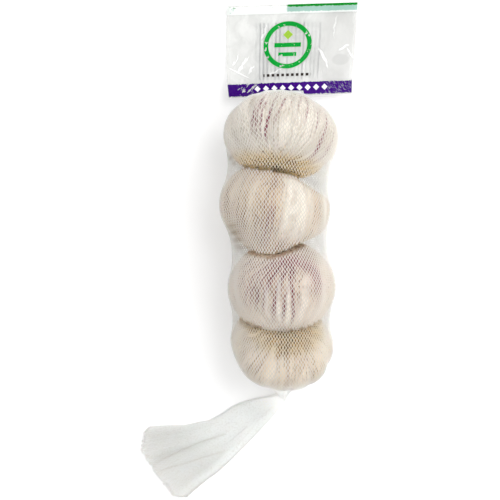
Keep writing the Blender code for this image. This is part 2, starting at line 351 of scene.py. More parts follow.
class Value:
    """What comes out of a node, so that sums in a shader read as sums."""

    def __init__(self, shader, socket):
        self.shader = shader
        self.socket = socket

    __add__ = on_nodes("ADD")
    __sub__ = on_nodes("SUBTRACT")
    __mul__ = on_nodes("MULTIPLY")
    __mod__ = on_nodes("MODULO")
    __abs__ = on_nodes("ABSOLUTE")

    def __rsub__(self, other):
        return self.shader.math("SUBTRACT", other, self)


class Shader:
    """A material's node tree, with a short call for each kind of node."""

    def __init__(self, name):
        self.material = bpy.data.materials.new(name)
        self.material.use_nodes = True
        self.tree = self.material.node_tree
        self.surface = self.tree.nodes["Principled BSDF"]

    def link(self, value, socket):
        if isinstance(value, Value):
            self.tree.links.new(value.socket, socket)
        else:
            socket.default_value = value

    def node(self, kind, values, output=0, **settings):
        """What comes out of a new node. Values go to its inputs, by name or number."""
        made = self.tree.nodes.new(kind)
        for key, value in settings.items():
            setattr(made, key, value)
        for key, value in values.items():
            self.link(value, made.inputs[key])
        return Value(self, made.outputs[output])

    def attribute(self, name):
        return self.node("ShaderNodeAttribute", {}, "Vector", attribute_name=name)

    def place(self):
        return self.node("ShaderNodeTexCoord", {}, "Object")

    def split(self, vector):
        first = self.node("ShaderNodeSeparateXYZ", {0: vector})
        return [Value(self, socket) for socket in first.socket.node.outputs]

    def join(self, x, y, z):
        return self.node("ShaderNodeCombineXYZ", {0: x, 1: y, 2: z})

    def math(self, operation, a, b=0.0):
        return self.node("ShaderNodeMath", {0: a, 1: b}, operation=operation)

    def most(self, first, *others):
        for other in others:
            first = self.math("MAXIMUM", first, other)
        return first

    def every(self, value, pitch):
        """Distance from the middle of each pitch, for marks that repeat."""
        return abs(value % pitch - pitch / 2)

    def moved(self, vector, shift):
        return self.node("ShaderNodeVectorMath", {0: vector, 1: shift}, operation="ADD")

    def noise(self, vector, scale, detail=2.0, rough=0.5, distortion=0.0):
        values = {"Vector": vector, "Scale": scale, "Detail": detail}
        values.update({"Roughness": rough, "Distortion": distortion})
        return self.node("ShaderNodeTexNoise", values)

    def ramp(self, value, low, high):
        """0 at low, 1 at high, smooth between. High may be the smaller."""
        flip = high < low
        ends = {1: min(low, high), 2: max(low, high), 3: float(flip), 4: float(not flip)}
        return self.node("ShaderNodeMapRange", {0: value, **ends}, interpolation_type="SMOOTHSTEP")

    def mix(self, share, a, b, blend="MIX"):
        """One colour into another. Tones of three numbers are sRGB, tones of four are linear."""
        values = {0: share}
        for key, tone in ((6, a), (7, b)):
            values[key] = to_linear(tone) if isinstance(tone, tuple) and len(tone) == 3 else tone
        return self.node("ShaderNodeMix", values, 2, data_type="RGBA", blend_type=blend)

    def bump(self, height, distance, strength):
        values = {"Height": height, "Distance": distance, "Strength": strength}
        self.link(self.node("ShaderNodeBump", values), self.surface.inputs["Normal"])

    def set(self, **values):
        for name, value in values.items():
            self.link(value, self.surface.inputs[name.replace("_", " ")])


def add_mesh(name, points, faces, material, attributes):
    """A piece that rides on the pack, from points in millimetres."""
    mesh = bpy.data.meshes.new(name)
    places = (np.asarray(points, float) - (*PART_MIDDLE, 0.0)) * MM
    faces = np.asarray(faces)
    mesh.vertices.add(len(places))
    mesh.vertices.foreach_set("co", places.astype(np.float32).ravel())
    mesh.loops.add(faces.size)
    mesh.loops.foreach_set("vertex_index", faces.astype(np.int32).ravel())
    mesh.polygons.add(len(faces))
    starts = np.arange(len(faces), dtype=np.int32) * faces.shape[1]
    mesh.polygons.foreach_set("loop_start", starts)
    mesh.update(calc_edges=True)
    mesh.validate()
    for key, values in attributes.items():
        layer = mesh.attributes.new(key, "FLOAT_VECTOR", "POINT")
        layer.data.foreach_set("vector", np.asarray(values, np.float32).ravel())
    mesh.shade_smooth()
    mesh.materials.append(material)
    thing = bpy.data.objects.new(name, mesh)
    bpy.context.scene.collection.objects.link(thing)
    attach(thing, "root")
    return thing


# Tones of each skin in sRGB: pale and shaded paper, and the fine veins.
SKIN_TONES = (
    ((225, 219, 211), (202, 194, 184), (158, 142, 126)),
    ((204, 184, 156), (172, 145, 116), (116, 84, 58)),
    ((208, 190, 175), (174, 148, 133), (122, 88, 74)),
    ((216, 202, 180), (182, 160, 128), (126, 98, 62)),
)
# How much darker each skin is than it looks through the threads, in linear values.
SKIN_DEPTH = (
    (1, 1, 0.985, 1), (0.94, 0.9, 0.84, 1), (0.93, 0.885, 0.835, 1), (0.985, 0.955, 0.925, 1),
)
MAUVE = (116, 26, 56)
ROSE = (116, 38, 54)
# Mauve-brown of the grooves between cloves, deepened as painted shade.
GROOVE_TONE_AND_SHADE = (118, 74, 56)
HAZE = (154, 80, 98)
# Pale paper, and painted highlight on bulb 1's top and on bulb 4's clove ridges.
PALE_PAPER_AND_HIGHLIGHT = (247, 243, 233)
# Painted highlight: white streaks on the lit right sides of bulbs 2 and 3.
PAINTED_HIGHLIGHT = (252, 254, 254)
# Streaks of each skin: azimuth at the first and last angle off the neck, those two angles,
# half width in radians, strength and tone.
STREAKS = (
    (
        (0.74, 0.98, 1.2, 1.65, 0.11, 0.4, HAZE), (-0.52, -0.7, 1.45, 2.05, 0.036, 1, MAUVE),
        (-0.41, -0.57, 1.3, 2.05, 0.04, 1, MAUVE), (-0.35, -0.48, 1.45, 2.15, 0.026, 0.85, MAUVE),
        (-0.17, -0.41, 1.3, 2.35, 0.03, 1, MAUVE), (-0.02, -0.2, 1.4, 2.05, 0.016, 0.45, MAUVE),
        (0.03, -0.14, 1.25, 1.95, 0.02, 0.65, MAUVE), (0.16, 0.08, 1.2, 1.75, 0.014, 0.4, MAUVE),
        (0.37, 0.24, 1, 1.7, 0.018, 0.6, MAUVE), (0.47, 0.39, 1.1, 1.85, 0.02, 0.65, MAUVE),
        (0.62, 0.57, 1.1, 1.6, 0.022, 0.65, MAUVE), (0.67, 0.73, 1.25, 1.95, 0.022, 0.75, MAUVE),
        (0.92, 0.95, 1.35, 2.05, 0.02, 0.65, MAUVE), (0.95, 1.16, 1.87, 2.46, 0.046, 1, MAUVE),
        (1.15, 1.25, 1.5, 1.9, 0.018, 0.7, MAUVE), (1.22, 1.46, 1.78, 2.44, 0.06, 1, MAUVE),
        # Painted highlight on the top of bulb 1.
        (0.2, 0.1, 1.6, 2.4, 0.16, 0.4, PALE_PAPER_AND_HIGHLIGHT),
    ),
    (
        (0.26, 0.3, 0.6, 1.5, 0.04, 0.45, GROOVE_TONE_AND_SHADE), (0.17, 0.2, 0.6, 1.55, 0.035, 0.6, GROOVE_TONE_AND_SHADE),
        (0.08, 0.1, 0.6, 1.65, 0.035, 0.6, ROSE), (-0.02, 0, 0.7, 1.9, 0.026, 0.5, ROSE),
        (0.38, 0.42, 0.7, 1.4, 0.035, 0.35, GROOVE_TONE_AND_SHADE), (0.03, 0.07, 1.35, 2.05, 0.022, 0.6, MAUVE),
        (0.75, 0.95, 0.7, 1.4, 0.16, 0.35, ROSE), (-0.32, -0.26, 1, 2.75, 0.155, 0.82, PAINTED_HIGHLIGHT),
        (-0.62, -0.52, 1, 2.65, 0.185, 0.74, PAINTED_HIGHLIGHT), (0.45, 0.5, 1.2, 2.3, 0.07, 0.45, PALE_PAPER_AND_HIGHLIGHT),
        (0.95, 1, 1.4, 2.3, 0.1, 0.4, PALE_PAPER_AND_HIGHLIGHT),
    ),
    (
        (0, 0, 2, 3.3, 1.6, 0.5, PALE_PAPER_AND_HIGHLIGHT), (0.22, -0.2, 0.7, 1.6, 0.34, 0.8, HAZE),
        (0.15, -0.55, 0.85, 2.25, 0.048, 0.95, ROSE), (0.28, -0.36, 0.85, 2.5, 0.052, 1, ROSE),
        (0.36, -0.12, 0.85, 2.55, 0.036, 0.95, ROSE), (0.42, 0.19, 0.85, 1.75, 0.038, 0.95, ROSE),
        (0.19, 0.25, 1.6, 2.65, 0.042, 1, ROSE), (0, -0.7, 0.85, 2.15, 0.042, 0.92, ROSE),
        (-0.14, -0.8, 0.85, 2.05, 0.036, 0.8, ROSE), (-0.22, -0.92, 0.85, 2, 0.036, 0.75, ROSE),
        (-0.45, -1.1, 0.85, 1.95, 0.034, 0.62, GROOVE_TONE_AND_SHADE), (-0.75, -1.3, 0.95, 1.85, 0.03, 0.5, GROOVE_TONE_AND_SHADE),
        (0.45, 0.9, 0.9, 1.9, 0.2, 0.95, HAZE), (0.64, 0.98, 1.2, 2.05, 0.05, 0.75, ROSE),
        (0.55, 0.88, 1.25, 2.2, 0.038, 0.65, ROSE), (-0.02, -0.19, 1.55, 2.6, 0.038, 0.62, PAINTED_HIGHLIGHT),
        (0.12, 0.07, 1.6, 2.7, 0.036, 0.62, PAINTED_HIGHLIGHT), (0.48, 0.46, 1.5, 2.7, 0.075, 0.5, PAINTED_HIGHLIGHT),
        (0.98, 1.18, 1.65, 2.5, 0.11, 0.65, PAINTED_HIGHLIGHT), (-0.28, -0.5, 1.7, 2.5, 0.05, 0.55, PAINTED_HIGHLIGHT),
    ),
    (
        # Bulb 4: the groove streaks are painted shade between the clove ridges, and the pale ones are
        # painted light on them.
        (0.7, 1.45, 1.72, 2.12, 0.16, 0.75, ROSE), (0.4, 0.3, 1.5, 2.45, 0.06, 0.26, GROOVE_TONE_AND_SHADE),
        (-0.3, -0.25, 1.5, 2.5, 0.055, 0.3, GROOVE_TONE_AND_SHADE), (-0.85, -0.8, 1.5, 2.4, 0.055, 0.25, GROOVE_TONE_AND_SHADE),
        (0.05, 0.02, 1.4, 2.25, 0.11, 0.5, PALE_PAPER_AND_HIGHLIGHT), (-0.58, -0.52, 1.4, 2.2, 0.12, 0.45, PALE_PAPER_AND_HIGHLIGHT),
        (0.72, 0.58, 1.4, 2.1, 0.07, 0.4, PALE_PAPER_AND_HIGHLIGHT),
    ),
)
# Painted shade in dark wedges between the cloves at a root end, given as the streaks are, of one
# tone.
ROOT_GAP_SHADE = (72, 46, 16)
SHADE_WEDGES = (
    (), (), (),
    (
        (0.6, 1.25, 2.05, 2.5, 0.075, 0.75), (-0.1, -0.4, 2.2, 2.95, 0.085, 0.75),
        (-0.8, -1.5, 2.15, 2.55, 0.07, 0.7),
    ),
)
# Small brown spots: place in plan, half width and half height in millimetres, and strength.
SPOTS = (
    ((20.2, 41.8, 3.3, 1.5, 0.85), (6.8, 47, 0.9, 0.9, 0.75), (4.6, 43.4, 1.2, 0.6, 0.6)),
    (),
    ((23.8, -17.5, 0.5, 0.5, 0.8),),
    (
        (13.4, -51, 0.5, 0.6, 0.8), (18.7, -53.8, 0.6, 0.6, 0.8), (30.7, -54.9, 0.5, 0.6, 0.7),
        (18.4, -60.4, 0.8, 0.4, 0.6),
    ),
)
RED_BROWN = (104, 60, 30)
# Where a root plate shows: how far it reaches from its middle, in radians, and its browns.
ROOT_SIZES = (1.15, None, None, 1.20)
ROOT_BROWNS = (((228, 188, 96), (122, 86, 28)), None, None, ((162, 122, 40), (72, 46, 8)))
# Painted shade in the crevice where each skin meets the bulb in front: how dark it gets, and the
# gaps, in millimetres, at which it begins and is full.
CREVICE_SHADE_DARKNESS = (0.98, 0, 0.97, 0.35)
CREVICE_SHADE_REACH = ((2.7, 1.7), (0, 1), (2.2, 1.4), (2.4, 1.4))


def skin_material(index, seed):
    """Papery skin: pale, with veins, mauve streaks towards the neck and a brown root end."""
    shader = Shader(f"skin_{index + 1}")
    mix, noise, ramp = shader.mix, shader.noise, shader.ramp
    skin = shader.attribute("skin")
    round_x, round_y, off_axis = shader.split(skin)
    wander = (noise(shader.moved(skin, (seed, 0, 0)), 1.7) - 0.5) * 0.35
    x = round_x + wander
    y = round_y - wander

    def streaks(scale, stretch, shift, detail=1.5):
        place = shader.join(x, y, off_axis * stretch)
        return noise(shader.moved(place, (seed, shift, 0)), scale, detail)

    fine = streaks(26, 0.05, 3.1)
    medium = streaks(9, 0.06, 7.7)
    broad = streaks(3.2, 0.25, 11.3)
    cloud = noise(shader.moved(skin, (0, seed, 2)), 2.6, 3)
    light, shade, vein_tone = SKIN_TONES[index]
    colour = mix(ramp(cloud, 0.36, 0.66), light, shade)
    colour = mix(ramp(medium, 0.44, 0.62), colour, light)
    colour = mix(ramp(fine, 0.5, 0.64) * 0.6, colour, vein_tone)

    angle = shader.math("ARCTAN2", round_y, round_x) + (cloud - 0.5) * 0.12
    around_size = shader.math("SINE", off_axis)
    broken = ramp(streaks(6, 0.5, 17, 2), 0.36, 0.54)

    def painted(colour, first, last, start, stop, width, strength, tone):
        """One streak from the neck's side to the root's. Wide streaks have softer edges."""
        slope = (last - first) / (stop - start)
        line = off_axis * slope + (first - slope * start)
        apart = abs(angle - line) * around_size
        wide = min(1, width / 0.12)
        mask = ramp(apart, width * (1.35 + 0.4 * wide), width * (0.4 - 0.4 * wide))
        begin = ramp(off_axis, start - 0.08 - 0.2 * wide, start + 0.1 + 0.2 * wide)
        end = ramp(off_axis, stop + 0.1 + 0.1 * wide, stop - 0.25 - 0.5 * wide)
        mask = mask * (begin * end) * (broken * 0.45 + 0.55) * strength
        return mix(mask, colour, tone)

    # The streaks hold the skins' own mauve, rose and pale marks, and also painted highlights and
    # painted shade in the grooves.
    for streak in STREAKS[index]:
        colour = painted(colour, *streak)

    from_root, clear, rim = shader.split(shader.attribute("root"))
    root = ROOT_SIZES[index]
    if root:
        edge = from_root + (medium - 0.5) * 0.9 + (broad - 0.5) * 0.5
        brown = mix(ramp(fine, 0.42, 0.6), *ROOT_BROWNS[index])
        colour = mix(ramp(edge, root, root * 0.6) * 0.95, colour, brown)
        speck = ramp(noise(shader.place(), 900), 0.54, 0.64) * ramp(edge, root, root * 0.4)
        colour = mix(speck, colour, (58, 36, 18))
        colour = mix(ramp(from_root, 0.22, 0.12), colour, (70, 48, 26))
    # Painted shade between the clove ends at the root.
    for wedge in SHADE_WEDGES[index]:
        colour = painted(colour, *wedge, ROOT_GAP_SHADE)
    place_x, place_y, place_z = shader.split(shader.place())
    above = ramp(place_z, 0.018, 0.026)
    ragged = ramp(noise(shader.place(), 1500), 0.4, 0.52)
    for spot_x, spot_y, wide, high, strength in SPOTS[index]:
        from_x = place_x * (1 / MM / wide) + (PART_MIDDLE[0] - spot_x) / wide
        from_y = place_y * (1 / MM / high) + (PART_MIDDLE[1] - spot_y) / high
        mask = ramp(from_x * from_x + from_y * from_y, 1.2, 0.4) * (above * strength)
        colour = mix(mask * ragged, colour, RED_BROWN)
    colour = mix(rim * 0.6, colour, (150, 112, 70))
    colour = mix(1, colour, SKIN_DEPTH[index], "MULTIPLY")
    # Painted shade: dark where the skin runs into the crevice at the bulb in front.
    gap = abs(angle) * 0.5 + (cloud * 2.6 + clear)
    crevice_shade = ramp(gap, *CREVICE_SHADE_REACH[index]) * CREVICE_SHADE_DARKNESS[index]
    colour = mix(crevice_shade, colour, (30, 18, 8))
    rough = crevice_shade * 0.4 + (cloud * 0.2 + 0.36)
    gloss = crevice_shade * -0.45 + 0.5
    shader.set(Base_Color=colour, Roughness=rough, Specular_IOR_Level=gloss)
    shader.set(Subsurface_Weight=0.06, Subsurface_Scale=0.003)
    shader.bump(medium * 1.6 + fine, 0.0006, 0.6)
    return shader.material


# How each skin departs from the bulb under the net: how far its root and neck end bulge, how
# far its root plate dips, and its flats: direction from the centre and distance.
ROOT_BULGE = (0, 0, 3.2, 0)
NECK_BULGE = (0, 2.6, 0, 0)
ROOT_RECESS = (1.6, 0, 0, 1.8)
FLATS = (
    (),
    (((0.563, 0.827, 0), 17.2), ((0.145, 0.989, 0), 16.3), ((0.408, -0.913, 0), 21.2)),
    (((-0.05, 0.8, 0.6), 17.4),),
    (),
)
FLAT_SOFTNESS = 2.4
# Fine ridges along every skin, how far it lies inside the plain bulb, and the angle within
# which a root plate dips.
RIDGES = range(18, 72, 3)
RIDGE_HEIGHT = 0.035
SKIN_INSIDE = 0.12
RECESS_ANGLE = 0.36
# The bulb whose first flat has a tan rim.
RIMMED = 1
# Tan edges: which way, where along it the tan starts and is full, and amount.
TAN_EDGES = (
    (),
    (
        ((0.145, 0.989, 0), 13.2, 16.6, 0.95),
        ((0.408, -0.913, 0), 19, 21.6, 0.3),
        ((-0.1, -0.995, 0), 18.8, 22.8, 0.5),
    ),
    (),
    (),
)
# Ways that the visible root plates face, and the bulb in front of each skin.
ROOT_WAY = ((-0.13, -0.97, 0.14), None, None, (0.13, 0.70, 0.70))
IN_FRONT = (1, None, 1, 2)


def off_root(index, ways):
    """Angle between unit vectors and the way of the root plate, pi where none shows."""
    if ROOT_WAY[index] is None:
        return np.full(ways.shape[:-1], pi)
    return np.arccos(np.clip(ways @ unit(np.array(ROOT_WAY[index])), -1, 1))


def skin_reach(bulb, index, away):
    """Distance from the centre to the skin itself in the direction of each unit vector."""
    off_axis, around = bulb.angles(away)
    reach = bulb.reach(away) + ROOT_BULGE[index] * smooth_step(off_axis - 2.1)
    reach = reach + NECK_BULGE[index] * smooth_step((0.75 - off_axis) / 0.75)
    rng = np.random.RandomState(40 + index)
    ridges = np.zeros_like(around)
    for count in RIDGES:
        phase = rng.uniform(0, 2 * pi)
        drift = rng.uniform(-0.5, 0.5)
        ridges += rng.uniform(0.4, 1.0) * np.sin(count * around + phase + drift * off_axis)
    reach = reach - SKIN_INSIDE + RIDGE_HEIGHT * ridges * np.sin(off_axis)
    reach = reach - ROOT_RECESS[index] * smooth_step((RECESS_ANGLE - off_root(index, away)) / 0.2)
    for way, distance in FLATS[index]:
        toward = away @ np.array(way)
        limit = np.where(toward > 0.05, distance / np.maximum(toward, 0.05), 1e3)
        lower = np.minimum(reach, limit)
        apart = np.clip(np.abs(reach - limit) / FLAT_SOFTNESS, 0, 1)
        reach = lower - FLAT_SOFTNESS / 6 * (1 - apart) ** 3
    return reach


def clearance(bulbs, index, points):
    """How far each point lies outside a bulb's skin."""
    away = points - bulbs[index].centre
    length = np.linalg.norm(away, axis=-1)
    return length - skin_reach(bulbs[index], index, away / length[..., None])


def pressed_reach(bulbs, index, away):
    """Reach of a skin that gives way where it meets the bulb in front of it."""
    bulb = bulbs[index]
    full = skin_reach(bulb, index, away)
    if IN_FRONT[index] is None:
        return full

    def free(distance):
        points = bulb.centre + away * distance[..., None]
        return clearance(bulbs, IN_FRONT[index], points) > SKIN_GAP

    low = full * 0.25
    high = full.copy()
    found = np.zeros(full.shape, bool)
    for share in np.linspace(0.25, 1.0, 40)[1:]:
        here = full * share
        clear = free(here)
        high = np.where(~clear & ~found, here, high)
        found |= ~clear
        low = np.where(found, low, here)
    for _ in range(12):
        middle = (low + high) / 2
        clear = free(middle)
        low = np.where(clear & found, middle, low)
        high = np.where(clear | ~found, high, middle)
    return np.where(found, low, full)


def halves(a, b, c, d):
    """Two triangles for each four corners."""
    quads = np.stack([a, b, c, d], axis=-1).reshape(-1, 4)
    return np.vstack([quads[:, [0, 1, 2]], quads[:, [0, 2, 3]]])


def make_bulb(index, bulbs, material):
    """Skin of one bulb: rows of points from the neck to the root plate."""
    bulb = bulbs[index]
    off_axis = np.linspace(0.0, pi, SKIN_LONG + 1)[1:-1]
    off_axis, around = np.meshgrid(off_axis, tube_angles(SKIN_ROUND)[0], indexing="ij")
    away = bulb.directions(off_axis, around)
    reach = pressed_reach(bulbs, index, away)
    points = (bulb.centre + away * reach[..., None]).reshape(-1, 3)
    neck = bulb.centre + bulb.axis * reach[0].mean()
    root = bulb.centre - bulb.axis * reach[-1].mean()
    points = np.vstack([points, neck, root])
    skin = np.stack([np.cos(around), np.sin(around), off_axis], axis=-1).reshape(-1, 3)
    skin = np.vstack([skin, (0.0, 0.0, 0.0), (0.0, 0.0, pi)])
    offset = points - bulb.centre
    clear = np.full(len(points), FAR)
    if IN_FRONT[index] is not None:
        clear = clearance(bulbs, IN_FRONT[index], points)
    rim = np.zeros(len(points))
    if index == RIMMED:
        way, distance = FLATS[index][0]
        toward = offset @ np.array(way)
        beside = np.sqrt(np.maximum(np.sum(offset**2, axis=1) - toward**2, 0.0))
        rim = smooth_step((toward - distance + 1.4) / 0.6) * smooth_step((beside - 15.5) / 1.5)
    # Darker tan towards the edges where bulb 2 meets bulbs 1 and 3.
    for way, start, full, amount in TAN_EDGES[index]:
        toward = offset @ np.array(way)
        rim = np.maximum(rim, amount * smooth_step((toward - start) / (full - start)))
    root_end = np.column_stack([off_root(index, unit(offset)), clear, rim])
    rows = SKIN_LONG - 1
    here = np.arange(rows * SKIN_ROUND).reshape(rows, SKIN_ROUND)
    beside = np.roll(here, -1, axis=1)
    sides = halves(here[:-1], here[1:], beside[1:], beside[:-1])
    end = np.full(SKIN_ROUND, here.size)
    top = np.column_stack([end, here[0], beside[0]])
    bottom = np.column_stack([end + 1, beside[-1], here[-1]])
    faces = np.vstack([sides, top, bottom])
    attributes = {"skin": skin, "root": root_end}
    add_mesh(f"bulb_{index + 1}", points, faces, material, attributes)


# A direction that no thread runs along.
ANY_WAY = (0.31, 0.17, 0.93)


def tubes(paths, radius, sides):
    """Closed thin tubes along paths, an array of tubes by points by 3, as points and faces."""
    count, length, _ = paths.shape
    radius = np.broadcast_to(radius, (count,))[:, None, None, None]
    ahead = unit(np.gradient(paths, axis=1))
    across = unit(np.cross(ahead, ANY_WAY))
    up = np.cross(across, ahead)
    angle = tube_angles(sides)[0]
    loops = (
        paths[:, :, None, :]
        + radius * np.cos(angle)[:, None] * across[:, :, None, :]
        + radius * np.sin(angle)[:, None] * up[:, :, None, :]
    )
    points = loops.reshape(-1, 3)
    here = np.arange(count * length * sides).reshape(count, length, sides)
    beside = np.roll(here, -1, axis=2)
    faces = halves(here[:, :-1], beside[:, :-1], beside[:, 1:], here[:, 1:])
    caps = []
    for k in range(1, sides - 1):
        caps += [here[:, 0, [0, k + 1, k]], here[:, -1, [0, k, k + 1]]]
    return points, np.vstack([faces, *caps])


# How much each of four neighbours counts, in powers of the place between the middle two.
SMOOTH = ((0, -0.5, 1, -0.5), (1, 0, -2.5, 1.5), (0, 0.5, 2, -1.5), (0, 0, -0.5, 0.5))


def sample_grid(grid, rows, columns):
    """Smooth values of a grid, periodic across, at fractional rows and columns."""

    def weights(t):
        return np.tensordot(SMOOTH, (t**0, t, t**2, t**3), 1)

    row = np.clip(np.floor(rows).astype(int), 0, len(grid) - 2)
    column = np.floor(columns).astype(int)
    along = weights(rows - row)
    beside = weights(columns - column)
    out = np.zeros(rows.shape + (3,))
    for i in range(4):
        r = np.clip(row + i - 1, 0, len(grid) - 1)
        for j in range(4):
            c = (column + j - 1) % grid.shape[1]
            out += (along[i] * beside[j])[..., None] * grid[r, c]
    return out


def strand_paths(grid, first_row, last_row, steps, phase):
    """Each knitted strand sways to one neighbour and the other, and meets it there."""
    strand, step = np.meshgrid(np.arange(STRANDS), np.arange(steps + 1), indexing="ij")
    sway = THREAD_SWAY * np.where((strand + step + phase) % 2 == 0, 1.0, -1.0)
    columns = (strand + sway) / STRANDS * AROUND
    rows = first_row + (last_row - first_row) * step / steps
    return sample_grid(grid, rows.astype(float), columns)


def net_material():
    """Half clear threads. Where the net is gathered they lie close and look white."""
    shader = Shader("net_thread")
    mix, noise = shader.mix, shader.noise
    place = shader.place()
    closed, lit, neutral = shader.split(shader.attribute("closed"))
    tan, dull, crease = shader.split(shader.attribute("tint"))
    cloud = noise(place, 900)
    mixed = cloud * 0.5 + noise(place, 60) * 0.5
    warm = mix(mixed, (250, 243, 233), (255, 253, 248))
    plain = mix(mixed, (243, 242, 239), (255, 255, 253))
    dark = shader.ramp(noise(place, 1500, 1), 0.5, 0.66) * 0.3
    plain = mix(dark, plain, (214, 208, 200))
    colour = mix(neutral, warm, plain)
    # Tan over root ends, and painted shade over the seams.
    colour = mix(tan, colour, (236, 205, 138))
    colour = mix(dull, colour, (206, 204, 198))
    # Painted shade along the free end's creases and where the slack net hangs between bulbs.
    colour = mix(crease, colour, (172, 158, 138))
    alpha = closed * (1 - THREAD_ALPHA) + THREAD_ALPHA
    # Painted light: the threads glow a little all over, more near the neck, and less where they are
    # tan.
    painted_glow = (lit * 0.12 + 0.05) * (tan * -0.9 + 1)
    shader.set(Base_Color=colour, Roughness=0.42, Alpha=alpha)
    shader.set(Subsurface_Weight=0.1, Subsurface_Scale=0.001)
    shader.set(Emission_Color=to_linear((252, 250, 244)), Emission_Strength=painted_glow)
    shader.bump(cloud, 0.00008, 0.4)
    return shader.material


def thread_piece(name, paths, looks, tints, radius, material):
    """Tubes along the paths. Looks: closed, lit, neutral. Tints: tan, dull, and painted shade of
    creases and slack net. All 0 to 1.
    """
    points, faces = tubes(paths, radius, THREAD_SIDES)
    attributes = {}
    for key, values in (("closed", looks), ("tint", tints)):
        values = np.stack(np.broadcast_arrays(*values), axis=-1).reshape(-1, 3)
        attributes[key] = np.repeat(values, THREAD_SIDES, axis=0)
    return add_mesh(name, points, faces, material, attributes)


# How much each skin's seam with the bulb in front shows in the threads above it.
SEAM_SHARE = np.array((1.0, 0.0, 1.0, 0.45))
# How tan and how much more closed threads look over a root end and over a seam. Over a seam the tan
# is painted shade.
ROOT_TAN, SEAM_SHADE_TAN = 0.42, 0.75
ROOT_CLOSED, SEAM_CLOSED = 0.30, -1.25
# Threads with no skin within this depth are free: how closed and how dull they look. The
# last is how much more open the threads at the sides of the net look.
FREE_DEPTH = 30.0
FREE_CLOSED, FREE_DULL = 0.30, 0.08
SIDE_OPEN = 0.35


def skin_below(bulbs, points):
    """What lies straight under each point: how far down, root end and seam, 0 to 1."""
    depth = np.full(points.shape[:-1], DEEPEST)
    root = np.zeros(depth.shape)
    seam = np.zeros(depth.shape)
    open_yet = np.ones(depth.shape, bool)
    for drop in np.geomspace(0.3, DEEPEST, 36):
        here = points - (0.0, 0.0, drop)
        apart = np.stack([clearance(bulbs, index, here) for index in range(len(bulbs))])
        hit = open_yet & (apart.min(axis=0) < 0)
        open_yet &= ~hit
        depth = np.where(hit, drop, depth)
        nearest = apart.argmin(axis=0)
        second = np.sort(apart, axis=0)[1]
        close = smooth_step((3.2 - second) / 2.2) * smooth_step((drop - 1.2) / 2.0)
        seam = np.where(hit, close * SEAM_SHARE[nearest], seam)
        for index, bulb in enumerate(bulbs):
            turned = off_root(index, unit(here - bulb.centre))
            share = smooth_step((1.20 - turned) / 0.30)
            root = np.where(hit & (nearest == index), share, root)
    return depth, root, seam


# Bands of the free end that look duller: share along and across at both ends, half width, amount.
TAIL_BANDS = (
    (0.1, 0.06, 0.62, 0.06, 0.09, 0.1), (0.12, 0.62, 0.7, 0.68, 0.13, 0.11),
    (0.85, 0.2, 0.98, 0.42, 0.22, 0.06), (0.78, 0.8, 0.98, 0.62, 0.2, 0.04),
    (0.55, 0.45, 0.9, 0.4, 0.08, 0.06),
)
# Lines in plan where the slack net hangs between bulbs, darkened as painted shade, with their reach
# and amount.
SLACK_SHADE = (
    (((-7.8, 10.5), (-4.8, 3), (-0.5, -0.8)), 2.3, 0.8),
    (((-9.4, 45), (-6.6, 41.4), (-2.9, 39.6)), 1.5, 0.6),
    (((-5.8, -33.4), (-3, -35.6), (1, -37)), 1.3, 0.35),
)
# Lines of painted shade along the free end's creases, in plan, with how far they show and how wide
# they are.
CREASE_SHADE_AMOUNTS = (0.22, 0.20, 0.08)
CREASE_SHADE_WIDTH = 0.42
CREASE_SHADE_LINES = (
    ((-45.6, -103.2), (-35.5, -97.8), (-23.5, -92.6), (-11.5, -88.8)),
    ((-45.1, -106.8), (-32, -103.2), (-21.1, -99.6), (-12.7, -97.2)),
    ((11.5, -75.5), (6, -80), (-1.5, -89.5), (-8, -97)),
)


def distance_to_line(points, line):
    """Distance in plan from each point to a line of several straight runs."""
    nearest = np.full(points.shape[:-1], 1e9)
    for first, last in zip(line[:-1], line[1:]):
        first = np.array(first)
        run = np.array(last) - first
        share = np.clip((points[..., :2] - first) @ run / (run @ run), 0, 1)
        apart = np.linalg.norm(points[..., :2] - first - share[..., None] * run, axis=-1)
        nearest = np.minimum(nearest, apart)
    return nearest


def tail_tints(tail):
    """Dull bands and painted shade along thin creases of the free end."""
    across = tube_angles(STRANDS)[1][:, None]
    along = np.linspace(0, 1, TAIL_STRAND_ROWS + 1)
    across, along = np.broadcast_arrays(across, along)
    here = np.dstack([along, across])
    dull = np.full(along.shape, 0.05)
    for along_0, across_0, along_1, across_1, width, amount in TAIL_BANDS:
        apart = distance_to_line(here, ((along_0, across_0), (along_1, across_1)))
        dull = dull + amount * smooth_step(1.3 - apart / width)
    rng = np.random.RandomState(11)
    rough = rng.uniform(0.0, 1.0, along.shape) * smooth_step((along - 0.55) / 0.3)
    dull = dull + 0.22 * rough * smooth_step((0.75 - across) / 0.4)
    dull = dull + 0.04 * rng.uniform(-1.0, 1.0, (STRANDS, 1))
    # Painted shade along the creases.
    crease = np.zeros(along.shape)
    for line, amount in zip(CREASE_SHADE_LINES, CREASE_SHADE_AMOUNTS):
        apart = distance_to_line(tail, line) / CREASE_SHADE_WIDTH
        crease = np.maximum(crease, amount * np.exp(-(apart**2)))
    settled = smooth_step((along - 0.04) / 0.1)
    return 0.0, np.clip(dull, 0, 1) * settled, crease


